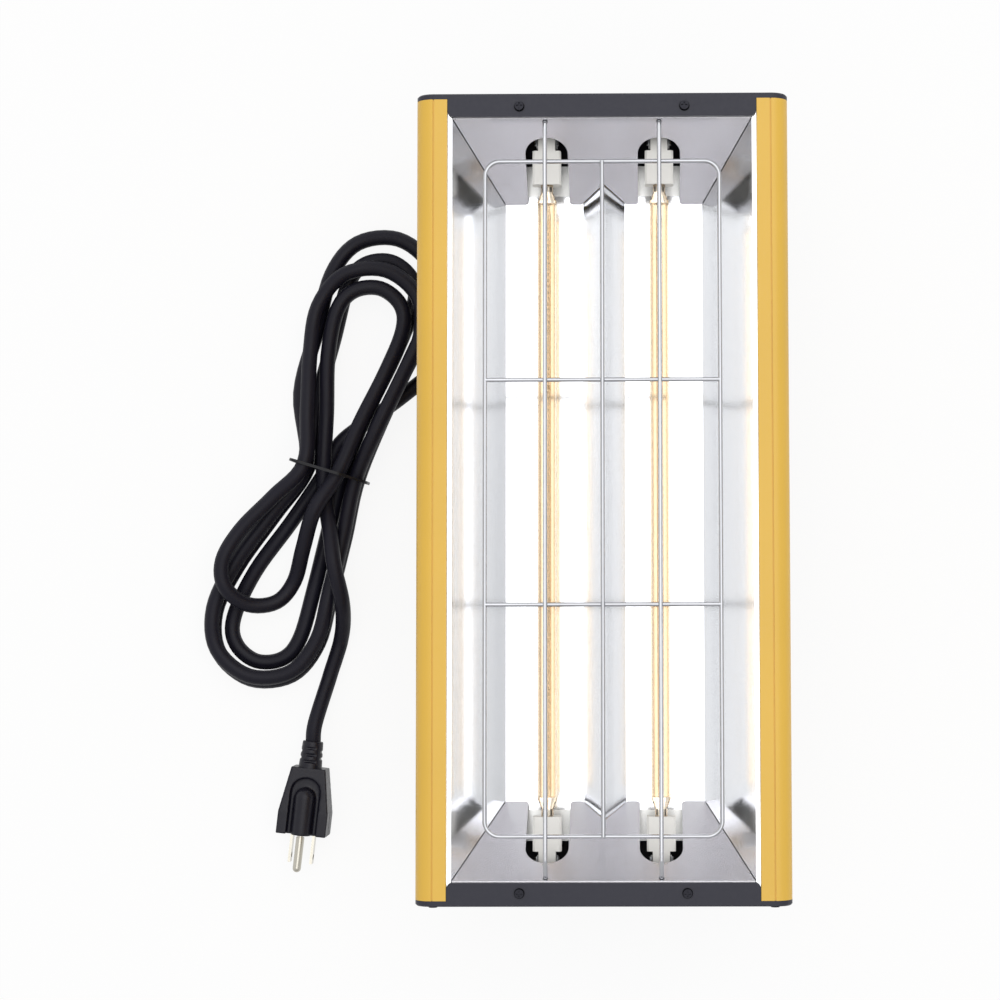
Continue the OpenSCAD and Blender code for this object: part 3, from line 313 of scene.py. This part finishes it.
def laid_points(cord):
    """Centreline of the whole cord, from the handle's strain relief to the plug, in millimetres."""
    d, step = cord.diameter / MM, (cord.diameter + cord.clear) / MM
    fold, top, bottom, small = (getattr(cord, k) / MM for k in ("fold", "top", "bottom", "small"))
    fold_step, drop = 1.12 * step, 14
    # Four turns: how many steps each fold is wider than the least, how far each reaches down and up
    # from the tie, and how far its lower fold lies to the side
    wide = [0, 1.12, 1.12, 0]
    bottoms = [bottom - fold_step, bottom, bottom - 2.3, small]
    tops = [top - drop, top, top - 1.5 * drop, top - 1.5 * drop - fold_step]
    shifts = [-6, -6, -6, -18.5]
    # Steps outwards from the inmost run on that side, at a turn's ten places on its runs
    steps = [
        [0, 0, 0, 0, 0, 0, 0, 0, 0.15, 0.9],
        [1.05, 1.12, 1.08, 1.05, 1.05, 1, 1.03, 1.03, 1.25, 1.9],
        [1.05, 1.12, 1.12, 1.05, 1.05, 1, 1.03, 1.03, 1.03, 1.05],
        [1, 0.6, 0.1, -0.05, -0.3, 0, 0, 0, 0, 0]]
    # Steps above a cord that lies on the floor, at each of a turn's twenty places
    layers = [
        [0.18, 0, 0, 0, 0, 0, 0, 0, 0, 0, 0.3, 1.2, 0.4, 0, 0, 0, 0, 0, 0, 0],
        [0.18, 0, 0, 0, 0, 0, 0, 0, 0, 0, 0.4, 1.25, 0.7, 0, 0, 0, 0, 0, 0.1, 0.6],
        [1.25, 1.1, 1, 1, 1, 1, 1, 1, 1, 1, 1.4, 2.3, 2.1, 1.65, 1.15, 1.05, 1.1, 1.12, 1.35, 1.85],
        [2.35, 2.2, 2.1, 2.1, 2, 1.3, 0.7, 0.5, 1.45, 2.35, 2.1, 2.3, 1.85, 1.3, 1.05, 1, 1, 1, 1, 1.1]]
    q = math.sqrt(0.5)

    def run_at(side, c, open_share, shift):
        """How far sideways a run lies: close at the tie, and opening towards its fold."""
        near = -c * step if side < 0 else step + c * step
        return near + (shift + side * (fold + c * step) - near) * open_share

    def turn(k):
        """One turn: from the tie round the lower fold, back through the tie and round the upper fold."""
        w = fold + wide[k] * step
        eb, et, c, s = bottoms[k] - w, tops[k] - w, steps[k], shifts[k]
        flat = [
            (0, run_at(-1, c[0], 0, s)), (-0.35 * eb, run_at(-1, c[1], 0.4, s)),
            (-0.7 * eb, run_at(-1, c[2], 0.85, s)), (-eb, s - w), (-eb - q * w, s - q * w),
            (-bottoms[k], s), (-eb - q * w, s + q * w), (-eb, s + w),
            (-0.7 * eb, run_at(1, c[3], 0.85, s)), (-0.35 * eb, run_at(1, c[4], 0.4, s)),
            (0, run_at(1, c[5], 0, 0)), (0.35 * et, run_at(1, c[6], 0.4, 0)),
            (0.7 * et, run_at(1, c[7], 0.85, 0)),
            (et, w), (et + q * w, q * w), (tops[k], 0), (et + q * w, -q * w), (et, -w),
            (0.7 * et, run_at(-1, c[8], 0.85, 0)), (0.35 * et, run_at(-1, c[9], 0.4, 0))]
        return [(a, b, layers[k][i]) for i, (a, b) in enumerate(flat)]

    # Into the hank from the handle, its turns, and out of it to the plug
    places = [(88, 54, 0), (68, 39, 0), (51, 27, 0), (36, 15.5, 0), (18, 3, 0)]
    for k in range(4):
        places += turn(k)
    places += [(0, 0, 1.2), (-17, 6.5, 1.15), (-34, 15.5, 1.75), (-52, 24.5, 2.3), (-69, 33.5, 1.75),
               (-82, 37, 0.75), (-94, 38, 0.05), (-106, 38, 0)]
    sin, cos = math.sin(HANK_LEAN), math.cos(HANK_LEAN)
    hank = [Vector((HANK_AT[0] + a * sin + b * cos, HANK_AT[1] + a * cos - b * sin,
                    d / 2 + max(z, 0) * step)) for a, b, z in places]
    hank = smoothed(hank, 6)
    lead = [(0, 78, 38), (0, 89, 38), (-2, 100, 36.5), (-8, 112, 32), (-19, 121.5, 25.5),
            (-34, 126, 18.5), (-50, 122.5, 12.5), (-64, 112, 8)]
    straight = 1.2 * d
    axis = Vector((-math.sin(PLUG_LEAN), -math.cos(PLUG_LEAN), 0))
    start = [Vector(p) for p in lead] + [hank[0] - straight * (hank[1] - hank[0]).normalized(), hank[0]]
    flat = Vector((*(hank[-1] - hank[-2]).xy, 0)).normalized()
    end = [hank[-1], hank[-1] + straight * flat, PLUG_AT - straight * axis, PLUG_AT]
    whole = smoothed(start, 6)[:-1] + hank + smoothed(end, 6)[1:]
    return [Vector((p.x, p.y, max(p.z, d / 2))) for p in whole]


def smoothed(points, parts):
    """A smooth line through the points, with so many parts between each two."""
    made = []
    for i in range(len(points) - 1):
        a, b, c, d = (points[min(max(i + k, 0), len(points) - 1)] for k in (-1, 0, 1, 2))
        for n in range(parts):
            u = n / parts
            made.append(0.5 * (2 * b + (c - a) * u + (2 * a - 5 * b + 4 * c - d) * u * u
                               + (3 * b - a - 3 * c + d) * u ** 3))
    return made + [points[-1]]


def pick(obj):
    """Makes obj the one selected and active object."""
    bpy.ops.object.select_all(action="DESELECT")
    obj.select_set(True)
    bpy.context.view_layer.objects.active = obj
    return obj


def settle(obj):
    """Puts the object's place, turn and size into its mesh."""
    pick(obj)
    bpy.ops.object.transform_apply(location=True, rotation=True, scale=True)
    return obj


def finished(obj, kind, **settings):
    """Adds a modifier with its settings and applies it."""
    pick(obj)
    made = obj.modifiers.new(kind.lower(), kind)
    for key, value in settings.items():
        setattr(made, key, value)
    bpy.ops.object.modifier_apply(modifier=made.name)
    return obj


def block(size, middle):
    """A box of that size in millimetres about its middle."""
    bpy.ops.object.select_all(action="DESELECT")
    bpy.ops.mesh.primitive_cube_add(size=1, location=Vector(middle) * MM)
    made = bpy.context.object
    made.scale = Vector(size) * MM
    return settle(made)


def rod(radius, length, middle, turn=(0, 0, 0), sides=32):
    """A round bar in millimetres about its middle, along Z before it is turned by degrees."""
    bpy.ops.object.select_all(action="DESELECT")
    bpy.ops.mesh.primitive_cylinder_add(
        vertices=sides, radius=radius * MM, depth=length * MM, location=Vector(middle) * MM,
        rotation=[math.radians(t) for t in turn])
    return settle(bpy.context.object)


def ball(radius, middle):
    """A ball in millimetres."""
    bpy.ops.object.select_all(action="DESELECT")
    bpy.ops.mesh.primitive_uv_sphere_add(segments=32, ring_count=16, radius=radius * MM,
                                         location=Vector(middle) * MM)
    return settle(bpy.context.object)


def narrowed(obj, y, share, middle, reach=0.5):
    """Draws the points of obj that lie at y towards the middle, sideways and up by the shares."""
    pick(obj)
    bpy.ops.object.mode_set(mode="EDIT")
    bpy.ops.mesh.select_mode(type="VERT")
    mesh = bmesh.from_edit_mesh(obj.data)
    for point in mesh.verts:
        point.select_set(abs(point.co.y / MM - y) < reach)
    mesh.select_flush_mode()
    bmesh.update_edit_mesh(obj.data)
    bpy.ops.transform.resize(value=(share[0], 1, share[1]), center_override=Vector(middle) * MM)
    bpy.ops.object.mode_set(mode="OBJECT")
    return obj


def fused(obj, other, operation="UNION"):
    """Joins other to obj, or cuts it out of it, and takes other away."""
    finished(obj, "BOOLEAN", operation=operation, object=other, solver="EXACT")
    bpy.data.objects.remove(other, do_unlink=True)
    return obj


def joined(obj, other):
    """Puts the mesh of other into obj."""
    pick(obj)
    other.select_set(True)
    bpy.ops.object.join()
    return obj


def moulded(obj, voxel, passes):
    """Softens every edge as a mould does: the mesh is made even, then smoothed."""
    finished(obj, "REMESH", mode="VOXEL", voxel_size=voxel * MM)
    finished(obj, "SMOOTH", factor=0.5, iterations=passes)
    pick(obj)
    bpy.ops.object.shade_smooth()
    return obj


def on_plug(obj):
    """Moves a piece made along Y from the cord to where the plug lies."""
    obj.location = Vector((PLUG_AT.x, PLUG_AT.y, 0)) * MM
    obj.rotation_euler = (0, 0, math.pi - PLUG_LEAN)
    return settle(obj)


def finish_piece(obj, body, material):
    """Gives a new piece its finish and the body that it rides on."""
    obj.data.materials.clear()
    obj.data.materials.append(material)
    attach(obj, body)
    return obj


class LAMP_OT_stage(bpy.types.Operator):
    """Camera, floor, backdrop and lights"""
    bl_idname = "lamp.stage"
    bl_label = "Studio"

    def execute(self, context):
        studio = context.scene.lamp_studio
        bpy.ops.object.camera_add(location=CAMERA_AT, rotation=[math.radians(a) for a in CAMERA_TURN])
        camera = context.object
        camera.name = "photo_camera"
        camera.data.lens = studio.lens
        camera.data.sensor_width = 36
        camera.data.shift_x, camera.data.shift_y = CAMERA_SHIFT
        camera.data.clip_end = 20
        context.scene.camera = camera

        bpy.ops.mesh.primitive_plane_add(size=FLOOR_SIDE, location=(0, 0, 0))
        floor = context.object
        floor.name = "studio_floor"
        made, tree, _ = begin("matt paper")
        paper = put(tree, "ShaderNodeBsdfPrincipled", {
            "Base Color": tuple(studio.floor), "Roughness": 0.9, "Specular IOR Level": 0.1})
        # Seen straight or in a mirror, the paper glows, so that it is as pale as in the photograph. The
        # share of plain paper that is left keeps a faint shadow
        glowing = 0.9
        glow = put(tree, "ShaderNodeEmission", {"Color": (1, 1, 1), "Strength": 1.0})
        paths = put(tree, "ShaderNodeLightPath")
        seen = put(tree, "ShaderNodeMath", {0: paths.outputs["Is Camera Ray"],
                                            1: paths.outputs["Is Glossy Ray"]}, operation="MAXIMUM")
        share = put(tree, "ShaderNodeMath", {0: seen.outputs[0], 1: glowing}, operation="MULTIPLY")
        mixed = put(tree, "ShaderNodeMixShader", {0: share.outputs[0], 1: paper.outputs[0],
                                                  2: glow.outputs[0]})
        close(tree, mixed.outputs[0])
        floor.data.materials.append(made)

        bpy.ops.object.light_add(type="AREA", location=SOFTBOX_AT,
                                 rotation=[math.radians(a) for a in SOFTBOX_TURN])
        softbox = context.object
        softbox.name = "softbox"
        softbox.data.shape = "SQUARE"
        softbox.data.size = SOFTBOX_SIDE
        softbox.data.energy = studio.softbox

        world = bpy.data.worlds.new("white tent")
        context.scene.world = world
        world.use_nodes = True
        tree = world.node_tree
        tree.nodes.clear()
        where = put(tree, "ShaderNodeTexCoord").outputs["Generated"]
        side, along, up = put(tree, "ShaderNodeSeparateXYZ", {0: where}).outputs
        # The tent's light grows from its foot to its top
        height = put(tree, "ShaderNodeMapRange", {"Value": up, "From Min": 0.0, "From Max": 0.8,
                                                  "To Min": 0.45, "To Max": 1.0}).outputs[0]
        strength = put(tree, "ShaderNodeMath", {0: height, 1: studio.sky},
                       operation="MULTIPLY").outputs[0]
        # The tent's folds, which polished metal shows as soft bands; its top is plain
        folds = put(tree, "ShaderNodeTexNoise",
                    {"Vector": where, "Scale": 2.4, "Detail": 0.0}).outputs["Fac"]
        band = put(tree, "ShaderNodeMapRange", {"Value": folds, "From Min": 0.35, "From Max": 0.65,
                                                "To Min": -0.08, "To Max": 0.05})
        plain = put(tree, "ShaderNodeMapRange", {"Value": up, "From Min": 0.8, "From Max": 0.95,
                                                 "To Min": 1.0, "To Max": 0.0})
        # In mirrors the tent is paler low down, and a little paler on the left and beyond the top end
        lifted = put(tree, "ShaderNodeMath", {0: height, 1: 0.2, 2: 0.8}, operation="MULTIPLY_ADD")
        farther = put(tree, "ShaderNodeMath", {0: along, 1: 0.35, 2: lifted.outputs[0]},
                      operation="MULTIPLY_ADD")
        across = put(tree, "ShaderNodeMath", {0: side, 1: -0.06, 2: farther.outputs[0]},
                     operation="MULTIPLY_ADD")
        mirrored = put(tree, "ShaderNodeMath", {0: band.outputs[0], 1: plain.outputs[0],
                                                2: across.outputs[0]}, operation="MULTIPLY_ADD")
        paths = put(tree, "ShaderNodeLightPath")
        glossy = put(tree, "ShaderNodeMix", {0: paths.outputs["Is Glossy Ray"], 2: strength,
                                             3: mirrored.outputs[0]}, data_type="FLOAT")
        sky = put(tree, "ShaderNodeMix", {0: paths.outputs["Is Camera Ray"], 2: glossy.outputs[0],
                                          3: 1.0}, data_type="FLOAT")
        back = put(tree, "ShaderNodeBackground", {"Color": (1, 1, 1), "Strength": sky.outputs[0]})
        put(tree, "ShaderNodeOutputWorld", {"Surface": back.outputs[0]})
        context.scene.view_settings.view_transform = "Standard"
        return {"FINISHED"}


class LAMP_OT_cord(bpy.types.Operator):
    """The cord from the handle through its hank to the plug"""
    bl_idname = "lamp.cord"
    bl_label = "Cord"

    def execute(self, context):
        cord = context.scene.lamp_cord
        tints = context.scene.lamp_colours
        points = laid_points(cord)
        bpy.ops.object.select_all(action="DESELECT")
        bpy.ops.curve.primitive_nurbs_path_add(location=(0, 0, 0))
        line = context.object
        line.name = "power_cord"
        line.data.splines.clear()
        spline = line.data.splines.new("POLY")
        spline.points.add(len(points) - 1)
        for place, point in zip(spline.points, points):
            place.co = (*(point * MM), 1)
        spline.use_smooth = True
        line.data.dimensions = "3D"
        line.data.bevel_depth = cord.diameter / 2
        line.data.bevel_resolution = 4
        line.data.use_fill_caps = True
        finish_piece(line, "lamp", cord_rubber("rubber jacket", tints.rubber))
        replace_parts(line, "cord_lead", "cord_hank", "cord_tail")
        return {"FINISHED"}


class LAMP_OT_housing(bpy.types.Operator):
    """Finishes of the rails, end plates, rear cover and fasteners"""
    bl_idname = "lamp.housing"
    bl_label = "Housing"

    def execute(self, context):
        tints = context.scene.lamp_colours
        wear(["side_rail_left", "side_rail_right"],
             powder_coat("yellow powder coat", tints.rail, rough=0.36))
        wear(["end_plate_top", "end_plate_bottom"],
             powder_coat("dark grey powder coat", tints.plate, rough=0.45, shine=0.3))
        wear(["rear_cover"], powder_coat("grey powder coat", tints.cover, rough=0.5))
        wear(["flange_screws", "end_plate_screws", "cover_screws", "handle_screws"],
             plated_metal("black oxide", linear("#2B2B30"), rough=0.32))
        wear(["flange_nuts", "holder_rivets"], plated_metal("zinc plate", linear("#B9BBBE"), rough=0.3))
        return {"FINISHED"}


class LAMP_OT_reflector(bpy.types.Operator):
    """Finishes of the mirror sheets, the lamp holders and the wire guard"""
    bl_idname = "lamp.reflector"
    bl_label = "Reflector and guard"

    def execute(self, context):
        tints = context.scene.lamp_colours
        wear(["reflector_trough"], polished_aluminium("bright-rolled aluminium", tints.mirror))
        wear(["end_reflector_top", "end_reflector_bottom"],
             polished_aluminium("satin aluminium", tints.end_mirror, rough=0.24,
                                lay=(1, 0.02, 0.02), streak=0.12))
        wear(["wire_guard"], plated_metal("bright nickel wire", tints.wire, rough=0.14))
        wear(["holder_clips"], plated_metal("spring steel", linear("#A9ABAE"), rough=0.28))
        wear(["holder_bracket_top", "holder_bracket_bottom"],
             plated_metal("bright tinplate", linear("#ECECEA"), rough=0.3))
        return {"FINISHED"}


class LAMP_OT_tubes(bpy.types.Operator):
    """Finishes of the quartz tubes, their elements and ceramics"""
    bl_idname = "lamp.tubes"
    bl_label = "Tubes"

    def execute(self, context):
        tints = context.scene.lamp_colours
        wear(["quartz_tube_left", "quartz_tube_right"],
             gold_quartz("gold-coated quartz", tints.quartz, tints.quartz_edge))
        # A close coil of tungsten wire on the tube's axis, with a straight lead at each end
        tungsten = plated_metal("drawn tungsten", tints.coil, rough=0.35)
        coil = context.scene.lamp_coil
        for side in ("left", "right"):
            low, high = (Vector(p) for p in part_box("filament_" + side))
            axis_x, axis_z = (low.x + high.x) / 2, (low.z + high.z) / 2
            bpy.ops.object.select_all(action="DESELECT")
            bpy.ops.mesh.primitive_circle_add(vertices=6, radius=coil.wire / 2, fill_type="NOTHING",
                                              rotation=(math.radians(90), 0, 0))
            made = settle(context.object)
            made.name = "heating_coil_" + side
            bpy.ops.object.mode_set(mode="EDIT")
            bpy.ops.mesh.select_all(action="SELECT")
            bpy.ops.transform.translate(value=(coil.radius, 0, 0))
            bpy.ops.object.mode_set(mode="OBJECT")
            run = high.y - low.y - 2 * coil.lead
            turns = round(run / coil.pitch)
            finished(made, "SCREW", axis="Z", angle=math.tau, screw_offset=run / turns,
                     iterations=turns, steps=10, render_steps=10)
            made.rotation_euler = (math.radians(-90), 0, 0)
            made.location = (axis_x, low.y + coil.lead, axis_z)
            settle(made)
            for y in (low.y + coil.lead / 2, high.y - coil.lead / 2):
                # Each lead is 1 mm longer, so that it runs into the coil
                lead = rod(coil.wire / 2 / MM, coil.lead / MM + 1, (axis_x / MM, y / MM, axis_z / MM),
                           turn=(90, 0, 0), sides=8)
                joined(made, lead)
            bpy.ops.object.shade_smooth()
            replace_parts(finish_piece(made, "lamp", tungsten), "filament_" + side)
        wear(["lamp_ceramics_left", "lamp_ceramics_right", "terminal_block"],
             fired_ceramic("steatite", tints.ceramic))
        return {"FINISHED"}


class LAMP_OT_handle(bpy.types.Operator):
    """Finishes of the handle, its strain relief and the switches"""
    bl_idname = "lamp.handle"
    bl_label = "Handle and switches"

    def execute(self, context):
        tints = context.scene.lamp_colours
        wear(["handle", "switch_frames"],
             moulded_plastic("glass-filled nylon", tints.plastic, rough=0.5))
        wear(["cord_boot"],
             moulded_plastic("soft PVC", tints.rubber, rough=0.5, spark=0.8 * MM, depth=0.2))
        wear(["rocker_left", "rocker_right"],
             moulded_plastic("red polycarbonate", tints.rocker, rough=0.22, spark=1.2 * MM, depth=0.05))
        return {"FINISHED"}


class LAMP_OT_plug(bpy.types.Operator):
    """The moulded plug with its grip hollow and slotted neck, its pins and the tie"""
    bl_idname = "lamp.plug"
    bl_label = "Plug and tie"

    def execute(self, context):
        tints = context.scene.lamp_colours
        plug = context.scene.lamp_plug
        neck, long, wide, narrow = (getattr(plug, k) / MM for k in ("neck", "length", "width", "waist"))
        tall, rib = plug.height / MM, plug.rib / MM
        face, middle = neck + long, PLUG_AT.z
        pvc = moulded_plastic("black PVC", tints.rubber, rough=0.38, spark=0.9 * MM, depth=0.08,
                              shine=0.3)

        # A wedge, narrow at the cord, with straight flanks over its last third. The rib rises above it
        rib_rise, lap = 4, 0.2
        deck = tall - rib_rise
        body = block((wide, long / 3 + lap, deck), (0, face - long / 6 - lap / 2, deck / 2))
        wedge = block((wide, long * 2 / 3, deck), (0, neck + long / 3, deck / 2))
        narrowed(wedge, neck, (narrow / wide, 0.8), (0, neck, deck / 2))
        fused(body, wedge)
        # Hollow for the thumb: an arch that opens towards the pins
        arch_y, arch_z, cutter = neck + long * 0.37, deck + 0.2, 8
        arch = rod(wide * 0.3, cutter, (0, arch_y, arch_z))
        channel = block((wide * 0.6, long, cutter), (0, arch_y + long / 2, arch_z))
        for hollow in (arch, channel):
            fused(body, hollow, "DIFFERENCE")
        # The rib over the earth pin starts round in the hollow
        start, rib_z = arch_y + rib * 0.25, tall - rib / 2 - 0.1
        fused(body, rod(rib / 2, face - start, (0, (start + face) / 2, rib_z), (90, 0, 0)))
        fused(body, ball(rib / 2, (0, start, rib_z)))
        # A shallow groove along each flank
        groove = 1.2
        for side in (-1, 1):
            cut = block((groove, long * 0.62, groove),
                        (side * (wide / 2 + 0.1), face - long * 0.3, deck * 0.52))
            fused(body, cut, "DIFFERENCE")
        body.name = "plug_moulding"
        on_plug(moulded(body, voxel=0.55, passes=6))
        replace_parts(finish_piece(body, "lamp", pvc), "plug_body")

        # Neck with three slots above and below and two on each side, which lets the cord bend. It runs
        # 1.5 mm into the body
        radius, reach, slot, slot_wide, slot_deep = 6.9, neck + 1.5, 1.5, 8.5, 3
        sleeve = rod(radius, reach, (0, reach / 2, middle), (90, 0, 0))
        narrowed(sleeve, 0, (0.86, 0.86), (0, 0, middle))
        for up in (-1, 1):
            for i in range(3):
                cut = block((slot_wide, slot, slot_deep),
                            (0, neck * (0.26 + 0.25 * i), middle + up * 6.6))
                fused(sleeve, cut, "DIFFERENCE")
        for side in (-1, 1):
            for i in range(2):
                cut = block((slot_deep, slot, slot_wide),
                            (side * radius, neck * (0.385 + 0.25 * i), middle))
                fused(sleeve, cut, "DIFFERENCE")
        sleeve.name = "plug_neck"
        on_plug(moulded(sleeve, voxel=0.4, passes=4))
        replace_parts(finish_piece(sleeve, "lamp", pvc), "plug_relief")

        wear(["plug_blades", "plug_earth_pin"], plated_metal("nickel on brass", tints.pins, rough=0.16))
        wear(["cord_tie"], moulded_plastic("coated wire", linear("#15151A"), rough=0.4, spark=0.5 * MM,
                                           depth=0.1, shine=0.25))
        return {"FINISHED"}


class LAMP_PT_panel(bpy.types.Panel):
    """Steps and sizes of the lamp"""
    bl_idname = "LAMP_PT_panel"
    bl_label = "Infrared curing lamp"
    bl_space_type = "VIEW_3D"
    bl_region_type = "UI"
    bl_category = "Lamp"

    def draw(self, context):
        for step in STEPS:
            self.layout.operator(step.bl_idname)
        for name in GROUPS:
            group = getattr(context.scene, name)
            box = self.layout.box()
            for key in group.bl_rna.properties.keys():
                if key not in ("rna_type", "name"):
                    box.prop(group, key)


GROUPS = {"lamp_colours": LampColours, "lamp_cord": LampCord, "lamp_plug": LampPlug,
          "lamp_coil": LampCoil, "lamp_studio": LampStudio}
STEPS = (LAMP_OT_stage, LAMP_OT_plug, LAMP_OT_cord, LAMP_OT_housing, LAMP_OT_reflector, LAMP_OT_tubes,
         LAMP_OT_handle)


def register():
    for made in (*GROUPS.values(), *STEPS, LAMP_PT_panel):
        bpy.utils.register_class(made)
    for key, made in GROUPS.items():
        setattr(bpy.types.Scene, key, PointerProperty(type=made))


def unregister():
    for key in GROUPS:
        delattr(bpy.types.Scene, key)
    for made in reversed((*GROUPS.values(), *STEPS, LAMP_PT_panel)):
        bpy.utils.unregister_class(made)


def main():
    register()
    bpy.ops.lamp.stage()
    bpy.ops.lamp.plug()
    bpy.ops.lamp.cord()
    bpy.ops.lamp.housing()
    bpy.ops.lamp.reflector()
    bpy.ops.lamp.tubes()
    bpy.ops.lamp.handle()


if __name__ == "__main__":
    main()
